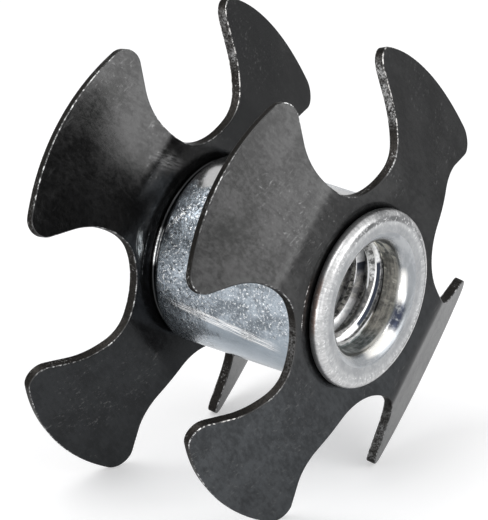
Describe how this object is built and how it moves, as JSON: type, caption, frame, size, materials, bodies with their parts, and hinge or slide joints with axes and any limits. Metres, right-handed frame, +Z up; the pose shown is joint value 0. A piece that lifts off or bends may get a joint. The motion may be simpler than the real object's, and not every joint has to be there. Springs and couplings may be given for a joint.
{
  "type": "star nut",
  "caption": "Threaded barrel with a bent spring steel star riveted at each end, driven into a bicycle steerer tube to anchor its top cap bolt.",
  "frame": {"origin": "middle of the thread, on its axis", "axes": "+X along the thread, out of the end that enters the tube first; +Z up, with the nut lying on two petals of each star"},
  "size_m": [0.0143, 0.024, 0.024],
  "materials": {
    "zinc_plated_steel": "bright zinc plate over turned steel, mottled on the barrel and satin on the rolled flanges",
    "black_spring_steel": "satin black oxide with fine rub marks and bright worn edges"
  },
  "bodies": {
    "root": {"threaded_body": "zinc_plated_steel", "lower_star": "black_spring_steel", "upper_star": "black_spring_steel"}
  },
  "joints": []
}
